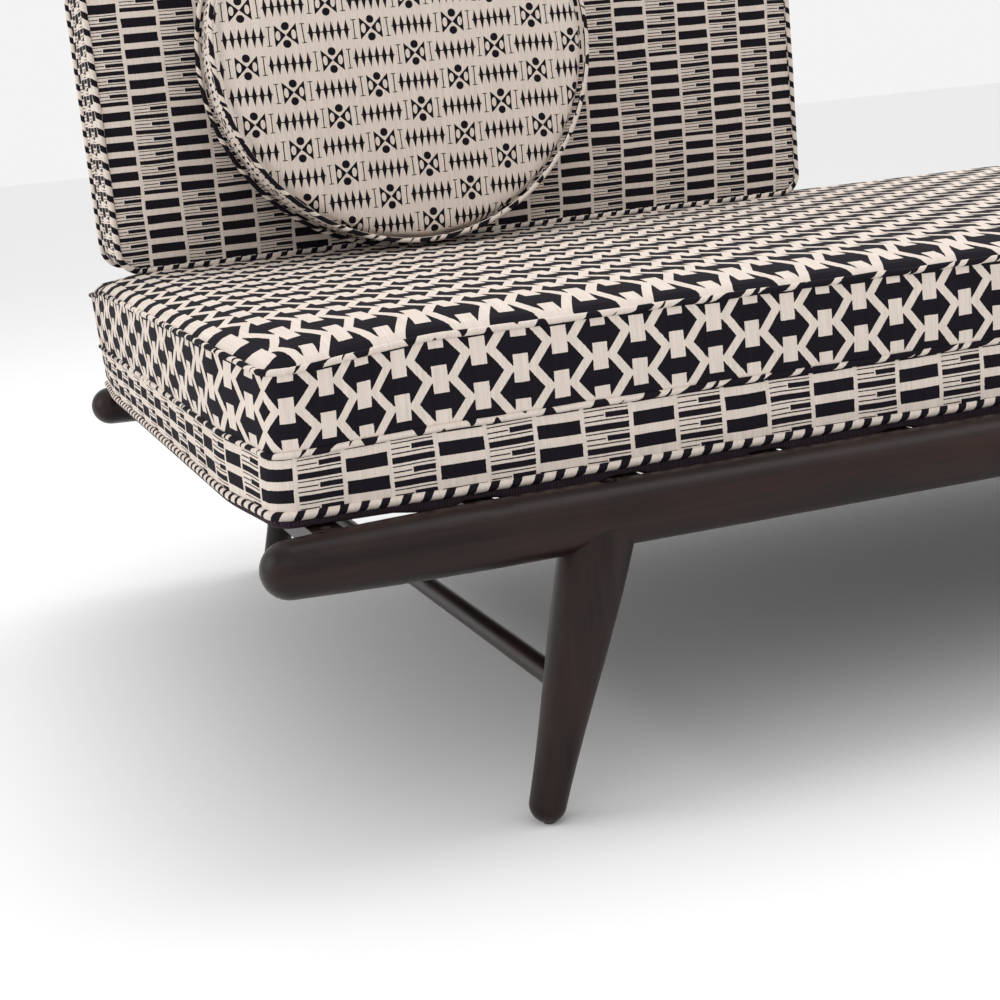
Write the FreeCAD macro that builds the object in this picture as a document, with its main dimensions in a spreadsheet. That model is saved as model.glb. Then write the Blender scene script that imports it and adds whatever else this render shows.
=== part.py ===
"""Daybed on two long turned rails, with a boxed mattress, a back cushion and a round cushion.

Frame of the model: origin on the floor under the middle of the daybed, +X along its length
(left end at -X), +Y from the front rail to the back rail, +Z up. Millimetres and degrees.
"""

import FreeCAD, Part
import os
import re

from FreeCAD import Vector
import Sketcher

# Driving dimensions: alias, value, what it is.
SIZES = [
    ("rail_length", 2000, "rail, tip to tip"),
    ("rail_spacing", 1010, "front rail axis to back rail axis"),
    ("rail_height", 245, "rail axis above the floor"),
    ("rail_radius", 27, "rail radius at and between the legs"),
    ("rail_tip_step", 4, "rail radius less the radius of its domed tips"),
    ("rail_taper", 200, "from a tip to where the rail reaches full radius"),
    ("leg_inset", 277, "rail tip to leg axis, at rail axis height"),
    ("leg_angle", 16.5, "outward rake of the legs, degrees from upright"),
    ("leg_top_half_width", 30.5, "leg section at the rail axis, along the rail"),
    ("leg_top_half_depth", 25.5, "leg section at the rail axis, across the rail"),
    ("shoulder_drop", 45, "rail axis to the leg's shoulder, down the leg"),
    ("shoulder_half_width", 29, "leg section at the shoulder, along the rail"),
    ("shoulder_half_depth", 27.5, "leg section at the shoulder, across the rail"),
    ("waist_drop", 144, "rail axis to the leg's middle, down the leg"),
    ("waist_radius", 21.6, "leg radius at its middle"),
    ("foot_radius", 15.5, "radius of the leg's domed foot"),
    ("foot_lift", 0.5, "floor to where the whole dome would end"),
    ("glide_height", 1.5, "thickness of the glide under a foot"),
    ("glide_radius", 5, "radius of the glide"),
    ("stretcher_radius", 10, "rod between a front and a back leg"),
    ("stretcher_height", 109, "rod axis above the floor"),
    ("stretcher_stop", 8, "end of the rod to the leg's axis plane"),
    ("slat_count", 16, "number of slats"),
    ("slat_width", 25, "slat, along the rail"),
    ("slat_thickness", 18, "slat, upright"),
    ("slat_drop", 3, "top of the rail to the top of the slats"),
    ("slat_inset", 57.5, "rail tip to the middle of the end slat"),
    ("slat_stop", 7, "end of a slat to the rail's axis plane"),
    ("slat_corner", 2, "rounding of the slat's ends"),
    ("slat_edge", 1.5, "rounding of the slat's top edges"),
    ("screw_radius", 2, "wood screw shank"),
    ("screw_head_radius", 4, "wood screw countersunk head"),
    ("screw_head_depth", 2.5, "height of the countersunk head"),
    ("screw_point", 4, "length of a screw's point"),
    ("screw_length", 32, "slat screw, end to end"),
    ("screw_inset", 8, "end of a slat to the screw's axis"),
    ("bolt_radius", 4, "leg bolt shank"),
    ("bolt_head_radius", 6.5, "leg bolt head"),
    ("bolt_head_height", 8, "leg bolt head"),
    ("bolt_seat", 13, "rail axis up to the underside of the bolt head"),
    ("bolt_length", 80, "leg bolt below its head"),
    ("bolt_key_radius", 3, "hexagon key socket in the bolt head, across corners"),
    ("bolt_key_depth", 4, "depth of the key socket"),
    ("bolt_end_room", 3, "hole past the end of the bolt"),
    ("bolt_clearance", 0.25, "bolt shank to its hole, radial"),
    ("counterbore_clearance", 1, "bolt head to its counterbore, radial"),
    ("insert_radius", 6, "threaded insert, outside"),
    ("insert_length", 25, "threaded insert"),
    ("insert_drop", 40, "rail axis to the insert's top, down the leg"),
    ("post_radius", 15, "back post"),
    ("post_height", 450, "rail axis to the start of the post's dome"),
    ("post_tenon_radius", 11, "round tenon under the post"),
    ("post_tenon_drop", 6, "end of the tenon below the rail axis"),
    ("post_leg_gap", 31, "left post's axis to the axis of the leg beside it, along the rail"),
    ("post_spacing", 503, "left post to right post"),
    ("post_bolt_radius", 3, "bolt up through the rail into the post"),
    ("post_bolt_length", 60, "post bolt above its head"),
    ("post_bolt_seat", 18, "rail axis down to the post bolt's head"),
    ("post_bolt_head_radius", 5, "post bolt head"),
    ("post_bolt_head_height", 4, "post bolt head"),
    ("board_height", 70, "back board, upright"),
    ("board_thickness", 18, "back board"),
    ("board_lap", 2, "depth of the flat cut in a post for a board"),
    ("board_corner", 20, "rounding of the board's ends"),
    ("board_edge", 4, "rounding of the board's front edges"),
    ("board_inset", 45, "end of the back cushion to the end of a board"),
    ("lower_board_height", 250, "rail axis to the middle of the lower board"),
    ("upper_board_height", 400, "rail axis to the middle of the upper board"),
    ("board_screw_length", 36, "board screw, end to end"),
    ("board_screw_offset", 18, "board screws above and below the board's middle"),
    ("mattress_end_set", 10, "rail tip to the mattress end"),
    ("mattress_front_set", 18, "front rail axis to the mattress front"),
    ("mattress_back_set", 42, "mattress back to the back rail axis"),
    ("mattress_corner", 45, "mattress corner radius, seen from above"),
    ("mattress_clearance", 0.5, "slat tops to the mattress underside"),
    ("underside_depth", 9.7, "mattress underside to the bottom seam"),
    ("lower_band", 52, "bottom seam to the middle seam"),
    ("upper_band", 70.4, "middle seam to the top seam"),
    ("mattress_crown", 14.9, "top seam to the top of the mattress"),
    ("underside_round", 8, "rounding under the mattress"),
    ("crown_round", 12, "rounding of the mattress top"),
    ("cover_thickness", 5, "cover and wadding round each foam block"),
    ("welt_radius", 3.6, "piped welt"),
    ("zip_height", 10, "zip tape, across"),
    ("zip_depth", 2, "zip tape and coil"),
    ("mattress_zip_length", 1400, "zip in the back of the mattress"),
    ("cushion_zip_length", 600, "zip under the back cushion"),
    ("cushion_inset", 36, "rail tip to the back cushion's left end"),
    ("cushion_width", 880, "back cushion, along the rail"),
    ("cushion_height", 440, "back cushion, upright"),
    ("cushion_corner", 24, "back cushion corner radius, seen from the front"),
    ("cushion_band", 142, "back cushion, seam to seam"),
    ("cushion_front_crown", 12, "front seam to the front of the back cushion"),
    ("cushion_back_crown", 5, "back seam to the back of the back cushion"),
    ("cushion_front_round", 10, "rounding of the back cushion's front"),
    ("cushion_gap", 4, "back cushion to the back boards"),
    ("cushion_rest", 0.6, "mattress top to the cushions' lowest welts"),
    ("round_radius", 218, "round cushion, centre to seam"),
    ("round_band", 90, "round cushion, seam to seam"),
    ("round_front_crown", 16, "front seam to the front of the round cushion"),
    ("round_back_crown", 5, "back seam to the back of the round cushion"),
    ("round_front_round", 14, "rounding of the round cushion's front"),
    ("round_tilt", 4.5, "lean of the round cushion, degrees"),
    ("round_inset", 366, "rail tip to the middle of the round cushion"),
    ("round_gap", 3, "round cushion to the back cushion"),
]
ALIASES = {alias for alias, value, meaning in SIZES}

# Places worked out from the driving dimensions, as formulas for the expressions.
SLAT_TOP = "(rail_height + rail_radius - slat_drop)"
SLAT_PITCH = "((rail_length - 2 * slat_inset) / (slat_count - 1))"
SLAT_LENGTH = "(rail_spacing - 2 * slat_stop)"
FOOT_DROP = "((rail_height - foot_lift - foot_radius) / cos(leg_angle * 1deg))"
STRETCHER_DROP = "((rail_height - stretcher_height) / cos(leg_angle * 1deg))"
LEG_X = "(rail_length / 2 - leg_inset)"
BOARD_BACK_Y = "(rail_spacing / 2 - post_radius + board_lap)"
BOARD_FRONT_Y = f"({BOARD_BACK_Y} - board_thickness)"
MATTRESS_LENGTH = "(rail_length - 2 * mattress_end_set)"
MATTRESS_WIDTH = "(rail_spacing - mattress_front_set - mattress_back_set)"
MATTRESS_FOOT = f"({SLAT_TOP} + mattress_clearance)"
MIDDLE_SEAM = "(underside_depth + lower_band)"
TOP_SEAM = "(underside_depth + lower_band + upper_band)"
MATTRESS_TOP = f"({MATTRESS_FOOT} + {TOP_SEAM} + mattress_crown)"
CUSHION_X = "(-rail_length / 2 + cushion_inset + cushion_width / 2)"
CUSHION_BACK_Y = f"({BOARD_FRONT_Y} - cushion_gap - cushion_back_crown)"
CUSHION_FRONT_Y = f"({CUSHION_BACK_Y} - cushion_band - cushion_front_crown)"
CUSHION_Z = f"({MATTRESS_TOP} + cushion_rest + welt_radius + cushion_height / 2)"
ROUND_REACH = "(round_radius + welt_radius)"
ROUND_X = "(-rail_length / 2 + round_inset)"
ROUND_Y = f"({CUSHION_FRONT_Y} - round_gap - {ROUND_REACH} * sin(round_tilt * 1deg) - round_back_crown)"
ROUND_Z = f"({MATTRESS_TOP} + cushion_rest + {ROUND_REACH} * cos(round_tilt * 1deg))"

X_AXIS = (1, 0, 0)
Y_AXIS = (0, 1, 0)
Z_AXIS = (0, 0, 1)

doc = FreeCAD.newDocument("daybed")
nodes = []


# ---------------------------------------------------------------- helpers


def formula(text):
    """Point each size's name at its spreadsheet cell."""
    return re.sub(r"[A-Za-z_]+", lambda w: "Sizes." + w.group() if w.group() in ALIASES else w.group(), text)


def make_sheet():
    """The spreadsheet that drives every size."""
    sheet = doc.addObject("Spreadsheet::Sheet", "Sizes")
    for row, (alias, value, meaning) in enumerate(SIZES, start=1):
        sheet.set(f"A{row}", str(value))
        sheet.setAlias(f"A{row}", alias)
        sheet.set(f"B{row}", "'" + meaning)
    doc.recompute()
    return sheet


def size(alias):
    """A driving dimension as a plain number."""
    return float(getattr(doc.Sizes, alias))


def bind(thing, **formulas):
    """Tie an object's properties to formulas of the driving dimensions."""
    for name, text in formulas.items():
        thing.setExpression(name, formula(text))
    return thing


def place(thing, x="0", y="0", z="0", axis=Z_AXIS, angle="0"):
    """Tie an object's placement: a turn about an axis, then a shift."""
    move = f"create(<<vector>>; {x}; {y}; {z})"
    turn = f"create(<<rotation>>; create(<<vector>>; {axis[0]}; {axis[1]}; {axis[2]}); {angle})"
    return bind(thing, Placement=f"create(<<placement>>; {move}; {turn})")


def primitive(kind, name, **formulas):
    """A Part primitive with its sizes tied."""
    return bind(doc.addObject("Part::" + kind, name), **formulas)


def cut(name, base, tools):
    """The base less all the tools."""
    tool = tools[0] if len(tools) == 1 else joined(name + "_tools", tools)
    result = doc.addObject("Part::Cut", name)
    result.Base = base
    result.Tool = tool
    return result


def joined(name, shapes):
    """One solid fused from several."""
    result = doc.addObject("Part::MultiFuse", name)
    result.Shapes = shapes
    return result


def group(name, shapes):
    """Separate solids kept side by side."""
    result = doc.addObject("Part::Compound", name)
    result.Links = shapes
    return result


def node(label, shape, **where):
    """A finished sub-part: its label names its file."""
    result = group("node_" + label, [shape])
    result.Label = label
    place(result, **where)
    nodes.append(result)
    return result


def side_name(front_or_back, left_or_right):
    return f"{front_or_back}_{left_or_right}"


def origin_plane(body, role):
    """One of the body's own origin planes."""
    return next(f for f in body.Origin.OriginFeatures if f.Role == role)


def flat_face(shape, sign):
    """Name of the level face furthest up (sign 1) or down (sign -1)."""
    level = [(sign * f.CenterOfMass.z, i) for i, f in enumerate(shape.Faces, start=1)
             if isinstance(f.Surface, Part.Plane) and abs(f.normalAt(0, 0).z) > 0.99]
    return f"Face{max(level)[1]}"


def draw_rounded_rectangle(sketch, length, width, corner):
    """Rounded rectangle centred on the sketch's origin, all of it tied to formulas."""
    a, b, r = 100.0, 50.0, 10.0
    right, left, up, down = Vector(1, 0), Vector(-1, 0), Vector(0, 1), Vector(0, -1)
    corners = [(Vector(a - r, -b + r), down, right), (Vector(a - r, b - r), right, up),
               (Vector(-a + r, b - r), up, left), (Vector(-a + r, -b + r), left, down)]
    arcs = []
    for centre, start, end in corners:
        middle = (start + end).normalize()
        arc = Part.Arc(centre + start * r, centre + middle * r, centre + end * r)
        arcs.append(sketch.addGeometry(arc, False))
    lines = []
    for i in range(4):
        one = sketch.Geometry[arcs[i - 1]].EndPoint
        two = sketch.Geometry[arcs[i]].StartPoint
        lines.append(sketch.addGeometry(Part.LineSegment(one, two), False))
    constrain = sketch.addConstraint
    for i in range(4):
        constrain(Sketcher.Constraint("Tangent", arcs[i - 1], 2, lines[i], 1))
        constrain(Sketcher.Constraint("Tangent", lines[i], 2, arcs[i], 1))
        constrain(Sketcher.Constraint("Horizontal" if i % 2 == 0 else "Vertical", lines[i]))
    for arc in arcs[1:]:
        constrain(Sketcher.Constraint("Equal", arcs[0], arc))
    constrain(Sketcher.Constraint("Symmetric", arcs[0], 3, arcs[2], 3, -1, 1))
    drive(sketch, Sketcher.Constraint("Radius", arcs[0], r), corner)
    drive(sketch, Sketcher.Constraint("DistanceX", arcs[3], 3, arcs[0], 3, 2 * (a - r)),
          f"{length} - 2 * {corner}")
    drive(sketch, Sketcher.Constraint("DistanceY", arcs[0], 3, arcs[1], 3, 2 * (b - r)),
          f"{width} - 2 * {corner}")


def draw_circle(sketch, radius):
    circle = sketch.addGeometry(Part.Circle(Vector(0, 0, 0), Vector(0, 0, 1), 10.0), False)
    sketch.addConstraint(Sketcher.Constraint("Coincident", circle, 3, -1, 1))
    drive(sketch, Sketcher.Constraint("Radius", circle, 10.0), radius)


def drive(sketch, constraint, text):
    """Add a dimension to the sketch and tie it to a formula."""
    index = sketch.addConstraint(constraint)
    sketch.setExpression(f"Constraints[{index}]", formula(text))


class Outline:
    """Plan of a padded block: a rounded rectangle or a circle."""

    def __init__(self, length=None, width=None, corner=None, radius=None):
        self.length, self.width, self.corner, self.radius = length, width, corner, radius

    def draw(self, sketch, inset="0"):
        if self.radius:
            draw_circle(sketch, f"({self.radius} - {inset})")
        else:
            draw_rounded_rectangle(sketch, f"({self.length} - 2 * {inset})",
                                   f"({self.width} - 2 * {inset})", f"({self.corner} - {inset})")


def padded(name, outline, height, z="0", inset="0", rounding=None, rounded_side=1):
    """Body padded up from the outline, with one face's edges rounded over; a plain disc if it is round."""
    if outline.radius and not rounding:
        disc = primitive("Cylinder", name, Radius=f"{outline.radius} - {inset}", Height=height)
        return place(disc, z=z)
    body = doc.addObject("PartDesign::Body", name)
    sketch = body.newObject("Sketcher::SketchObject", name + "_plan")
    sketch.AttachmentSupport = (origin_plane(body, "XY_Plane"), [""])
    sketch.MapMode = "FlatFace"
    outline.draw(sketch, inset)
    pad = body.newObject("PartDesign::Pad", name + "_pad")
    pad.Profile = sketch
    bind(pad, Length=height)
    doc.recompute()
    if rounding:
        fillet = body.newObject("PartDesign::Fillet", name + "_round")
        fillet.Base = (pad, [flat_face(pad.Shape, rounded_side)])
        bind(fillet, Radius=rounding)
    return place(body, z=z)


# ---------------------------------------------------------------- rails


def rail_body(name):
    """Half of the profile is revolved, then mirrored across the rail's middle."""
    half, full, tip = size("rail_length") / 2, size("rail_radius"), size("rail_radius") - size("rail_tip_step")
    taper = size("rail_taper")
    body = doc.addObject("PartDesign::Body", name)
    sketch = body.newObject("Sketcher::SketchObject", name + "_profile")
    sketch.AttachmentSupport = (origin_plane(body, "XZ_Plane"), [""])
    sketch.MapMode = "FlatFace"
    # First guess of the arcs; the constraints below hold them.
    swell = ((taper - tip) ** 2 + full ** 2 - tip ** 2) / (2 * (full - tip))
    swell_centre = Vector(-half + taper, full - swell)
    dome_centre = Vector(-half + tip, 0)
    toward = (dome_centre - swell_centre).normalize()
    meet = dome_centre + toward * tip
    tip_point = Vector(-half, 0)
    dome_middle = dome_centre + (toward + Vector(-1, 0)).normalize() * tip
    swell_top = Vector(-half + taper, full)
    swell_middle = swell_centre + (toward + Vector(0, 1)).normalize() * swell
    add = sketch.addGeometry
    dome = add(Part.Arc(meet, dome_middle, tip_point), False)
    rise = add(Part.Arc(swell_top, swell_middle, meet), False)
    top = add(Part.LineSegment(swell_top, Vector(0, full)), False)
    middle = add(Part.LineSegment(Vector(0, full), Vector(0, 0)), False)
    axis = add(Part.LineSegment(Vector(0, 0), tip_point), False)
    constrain = sketch.addConstraint
    constrain(Sketcher.Constraint("Tangent", dome, 1, rise, 2))
    constrain(Sketcher.Constraint("Tangent", rise, 1, top, 1))
    constrain(Sketcher.Constraint("Coincident", top, 2, middle, 1))
    constrain(Sketcher.Constraint("Coincident", middle, 2, -1, 1))
    constrain(Sketcher.Constraint("Coincident", middle, 2, axis, 1))
    constrain(Sketcher.Constraint("Coincident", axis, 2, dome, 2))
    constrain(Sketcher.Constraint("PointOnObject", dome, 3, -1))
    constrain(Sketcher.Constraint("Horizontal", top))
    constrain(Sketcher.Constraint("Horizontal", axis))
    constrain(Sketcher.Constraint("Vertical", middle))
    drive(sketch, Sketcher.Constraint("Radius", dome, tip), "rail_radius - rail_tip_step")
    drive(sketch, Sketcher.Constraint("DistanceY", middle, 2, middle, 1, full), "rail_radius")
    drive(sketch, Sketcher.Constraint("DistanceX", axis, 2, axis, 1, half), "rail_length / 2")
    drive(sketch, Sketcher.Constraint("DistanceX", axis, 2, rise, 1, taper), "rail_taper")
    turn = body.newObject("PartDesign::Revolution", name + "_turning")
    turn.Profile = sketch
    turn.ReferenceAxis = (sketch, ["H_Axis"])
    turn.Angle = 360
    doc.recompute()
    mirror = body.newObject("PartDesign::Mirrored", name + "_mirror")
    mirror.Originals = [turn]
    mirror.MirrorPlane = (origin_plane(body, "YZ_Plane"), [""])
    body.Tip = mirror
    return body


def drilled_rail(name, y_side, tools):
    """Rail in its place, with the housings and holes cut into it."""
    body = rail_body(name + "_turned")
    place(body, y=f"{y_side} * rail_spacing / 2", z="rail_height")
    return node(name, cut(name + "_drilled", body, tools))


# ---------------------------------------------------------------- legs and stretchers


def on_leg(thing, x_side, y_side, drop="0"):
    """Stand a thing on a leg's axis, so far down the leg from the rail axis."""
    return place(thing, x=f"{x_side} * ({LEG_X} + {drop} * sin(leg_angle * 1deg))",
                 y=f"{y_side} * rail_spacing / 2",
                 z=f"rail_height - {drop} * cos(leg_angle * 1deg)",
                 axis=Y_AXIS, angle=f"{-x_side} * leg_angle")


def leg_blank(name):
    """Tapered leg along its own axis: wide and thin at the rail, round at the foot."""
    rings = [("0", "leg_top_half_width", "leg_top_half_depth"),
             ("shoulder_drop", "shoulder_half_width", "shoulder_half_depth"),
             ("waist_drop", "waist_radius", "waist_radius"),
             (FOOT_DROP, "foot_radius", "foot_radius")]
    sections = []
    for i, (drop, half_width, half_depth) in enumerate(rings):
        ring = primitive("Ellipse", f"{name}_ring_{i}", MajorRadius=half_width, MinorRadius=half_depth)
        sections.append(place(ring, z=f"-{drop}"))
    shaft = doc.addObject("Part::Loft", name + "_shaft")
    shaft.Sections = sections
    shaft.Solid = True
    dome = primitive("Sphere", name + "_dome", Radius="foot_radius")
    place(dome, z=f"-{FOOT_DROP}")
    return joined(name + "_blank", [shaft, dome])


def rail_envelope(name, y_side):
    """Plain cylinder of the rail's full radius, for coping what meets the rail."""
    envelope = primitive("Cylinder", name, Radius="rail_radius", Height="rail_length")
    return place(envelope, x="-rail_length / 2", y=f"{y_side} * rail_spacing / 2", z="rail_height",
                 axis=Y_AXIS, angle="90")


def floor_box():
    """Space below the tops of the glides."""
    box = primitive("Box", "floor_box", Length="rail_length", Width="2 * rail_spacing", Height="rail_height")
    return place(box, x="-rail_length / 2", y="-rail_spacing", z="glide_height - rail_height")


def stretcher(name, x_side):
    """Rod from front to back, let into the legs' inner sides."""
    rod = primitive("Cylinder", name + "_rod", Radius="stretcher_radius",
                    Height="rail_spacing - 2 * stretcher_stop")
    return place(rod, x=f"{x_side} * ({LEG_X} + {STRETCHER_DROP} * sin(leg_angle * 1deg))",
                 y="-rail_spacing / 2 + stretcher_stop", z="stretcher_height", axis=X_AXIS, angle="-90")


def leg_bolt(name):
    """Cap screw, head up, with the underside of its head at the origin."""
    head = primitive("Cylinder", name + "_head", Radius="bolt_head_radius", Height="bolt_head_height")
    key = primitive("Prism", name + "_key", Polygon="6", Circumradius="bolt_key_radius",
                    Height="bolt_key_depth")
    place(key, z="bolt_head_height - bolt_key_depth")
    shank = primitive("Cylinder", name + "_shank", Radius="bolt_radius", Height="bolt_length")
    place(shank, z="-bolt_length")
    return cut(name + "_solid", joined(name + "_uncut", [head, shank]), [key])


def leg_bolt_hole(name):
    """Clear hole and counterbore for the leg bolt."""
    hole = primitive("Cylinder", name + "_hole", Radius="bolt_radius + bolt_clearance",
                     Height="bolt_length + bolt_end_room")
    place(hole, z="-bolt_length - bolt_end_room")
    bore = primitive("Cylinder", name + "_counterbore",
                     Radius="bolt_head_radius + counterbore_clearance", Height="2 * rail_radius")
    return joined(name, [hole, bore])


def make_leg(x_side, y_side, name, envelope, rod, floor):
    """One leg with its insert, bolt and glide; returns the bolt, the insert and the hole."""
    drop = "-bolt_seat"
    hole = on_leg(leg_bolt_hole(name + "_bolt_hole"), x_side, y_side, drop)
    bolt = on_leg(leg_bolt(name + "_bolt"), x_side, y_side, drop)
    sleeve = primitive("Cylinder", name + "_sleeve", Radius="insert_radius", Height="insert_length")
    on_leg(sleeve, x_side, y_side, "(insert_drop + insert_length)")
    insert_bore = primitive("Cylinder", name + "_insert_bore", Radius="bolt_radius", Height="insert_length")
    on_leg(insert_bore, x_side, y_side, "(insert_drop + insert_length)")
    insert = cut(name + "_insert", sleeve, [insert_bore])
    blank = on_leg(leg_blank(name), x_side, y_side)
    node(name, cut(name + "_cut", blank, [envelope, rod, hole, sleeve, floor]))
    glide = primitive("Cylinder", name + "_glide", Radius="glide_radius", Height="glide_height")
    place(glide, x=f"{x_side} * ({LEG_X} + {FOOT_DROP} * sin(leg_angle * 1deg))",
          y=f"{y_side} * rail_spacing / 2")
    node(name.replace("leg", "glide"), glide)
    return bolt, insert, hole


# ---------------------------------------------------------------- slats and screws


def wood_screw(name, length):
    """Countersunk screw hanging from the origin, the top of its head there."""
    head = primitive("Cone", name + "_head", Radius1="screw_radius", Radius2="screw_head_radius",
                     Height="screw_head_depth")
    place(head, z="-screw_head_depth")
    shank = primitive("Cylinder", name + "_shank", Radius="screw_radius",
                      Height=f"{length} - screw_head_depth - screw_point")
    place(shank, z=f"-{length} + screw_point")
    point = primitive("Cone", name + "_point", Radius1="0", Radius2="screw_radius", Height="screw_point")
    place(point, z=f"-{length}")
    return joined(name, [head, shank, point])


def slat_x(index):
    """Middle of a slat, counted from 0 at the left end."""
    return f"(-rail_length / 2 + slat_inset + {index} * {SLAT_PITCH})"


def make_slats(count):
    """The slats, their screws, and the housings that they need in the rails."""
    plan = Outline(length="slat_width", width=SLAT_LENGTH, corner="slat_corner")
    blank = padded("slat_blank", plan, "slat_thickness", z=f"{SLAT_TOP} - slat_thickness",
                   rounding="slat_edge")
    screw = wood_screw("slat_screw", "screw_length")
    screw_y = f"({SLAT_LENGTH} / 2 - screw_inset)"
    pair = [place(group(f"slat_screw_{side}", [screw]), y=f"{sign} * {screw_y}", z=SLAT_TOP)
            for side, sign in (("front", -1), ("back", 1))]
    drilled = cut("slat_drilled", blank, pair)
    housing = primitive("Box", "slat_housing", Length="slat_width", Width=SLAT_LENGTH,
                        Height="slat_thickness + 2 * slat_drop")
    place(housing, x="-slat_width / 2", y=f"-{SLAT_LENGTH} / 2", z=f"{SLAT_TOP} - slat_thickness")
    screws = []
    housings = []
    for i in range(count):
        node(f"slat_{i + 1:02d}", drilled, x=slat_x(i))
        screws.append(place(group(f"slat_{i + 1:02d}_screws", pair), x=slat_x(i)))
        housings.append(place(group(f"slat_{i + 1:02d}_housing", [housing]), x=slat_x(i)))
    all_screws = group("all_slat_screws", screws)
    node("slat_screws", all_screws)
    return [all_screws, group("all_housings", housings)]


# ---------------------------------------------------------------- back posts and boards


def make_back(envelope):
    """Two posts on the back rail and two boards; returns what the rail has to make room for."""
    plan = Outline(length="cushion_width - 2 * board_inset", width="board_height", corner="board_corner")
    blanks = []
    for label, height in (("lower", "lower_board_height"), ("upper", "upper_board_height")):
        blank = padded(f"board_{label}_blank", plan, "board_thickness", rounding="board_edge")
        turned = place(group(f"board_{label}_turned", [blank]), x=CUSHION_X, y=BOARD_BACK_Y,
                       z=f"rail_height + {height}", axis=X_AXIS, angle="90")
        blanks.append(turned)
    screw = wood_screw("board_screw", "board_screw_length")
    screws = []
    rail_room = []
    bolts = []
    posts = []
    left_x = "leg_inset - post_leg_gap - rail_length / 2"
    for label, x in (("left", left_x), ("right", left_x + " + post_spacing")):
        name = f"back_post_{label}"
        for height in ("lower_board_height", "upper_board_height"):
            for sign in (-1, 1):
                copy = group(f"{name}_screw_{len(screws)}", [screw])
                screws.append(place(copy, x=x, y=BOARD_FRONT_Y, axis=X_AXIS, angle="90",
                                    z=f"rail_height + {height} + {sign} * board_screw_offset"))
        shaft = primitive("Cylinder", name + "_shaft", Radius="post_radius", Height="post_height")
        dome = primitive("Sphere", name + "_dome", Radius="post_radius")
        place(dome, z="post_height")
        whole = place(joined(name + "_whole", [shaft, dome]), x=x, y="rail_spacing / 2", z="rail_height")
        tenon = primitive("Cylinder", name + "_tenon", Radius="post_tenon_radius",
                          Height="post_tenon_drop + rail_radius")
        place(tenon, x=x, y="rail_spacing / 2", z="rail_height - post_tenon_drop")
        bolt, room = post_bolt(name + "_bolt", x)
        coped = cut(name + "_coped", whole, [envelope])
        posts.append((name, joined(name + "_tenoned", [coped, tenon]), bolt))
        rail_room += [tenon, room]
        bolts.append(bolt)
    all_screws = group("all_board_screws", screws)
    for name, post, bolt in posts:
        node(name, cut(name + "_cut", post, blanks + [all_screws, bolt]))
    for label, blank in zip(("lower", "upper"), blanks):
        node(f"back_board_{label}", cut(f"board_{label}_drilled", blank, [all_screws]))
    node("back_board_screws", all_screws)
    node("back_post_bolts", group("all_post_bolts", bolts))
    return rail_room


def post_bolt(name, x):
    """Bolt up through the back rail, and the clear hole and counterbore that it needs there."""
    where = {"x": x, "y": "rail_spacing / 2"}
    seat = "(rail_height - post_bolt_seat)"
    shank = primitive("Cylinder", name + "_shank", Radius="post_bolt_radius", Height="post_bolt_length")
    head = primitive("Cylinder", name + "_head", Radius="post_bolt_head_radius",
                     Height="post_bolt_head_height")
    place(shank, z=seat, **where)
    place(head, z=f"{seat} - post_bolt_head_height", **where)
    hole = primitive("Cylinder", name + "_hole", Radius="post_bolt_radius + bolt_clearance",
                     Height="post_bolt_seat")
    bore = primitive("Cylinder", name + "_counterbore",
                     Radius="post_bolt_head_radius + counterbore_clearance", Height="rail_radius")
    place(hole, z=seat, **where)
    place(bore, z=f"{seat} - rail_radius", **where)
    return joined(name, [shank, head]), joined(name + "_room", [hole, bore])


# ---------------------------------------------------------------- mattress and cushions


def welt(name, outline, seam):
    """Piping round the outline at a seam's height."""
    if outline.radius:
        ring = primitive("Torus", name + "_pipe", Radius1=outline.radius, Radius2="welt_radius")
        return place(ring, z=seam)
    path = doc.addObject("Sketcher::SketchObject", name + "_path")
    outline.draw(path)
    place(path, z=seam)
    section = primitive("Circle", name + "_section", Radius="welt_radius")
    place(section, y=f"-{outline.width} / 2", z=seam, axis=Y_AXIS, angle="90")
    doc.recompute()
    pipe = doc.addObject("Part::Sweep", name + "_pipe")
    pipe.Sections = [section]
    pipe.Spine = (path, [f"Edge{i}" for i in range(1, len(path.Shape.Edges) + 1)])
    pipe.Solid = True
    return pipe


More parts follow.
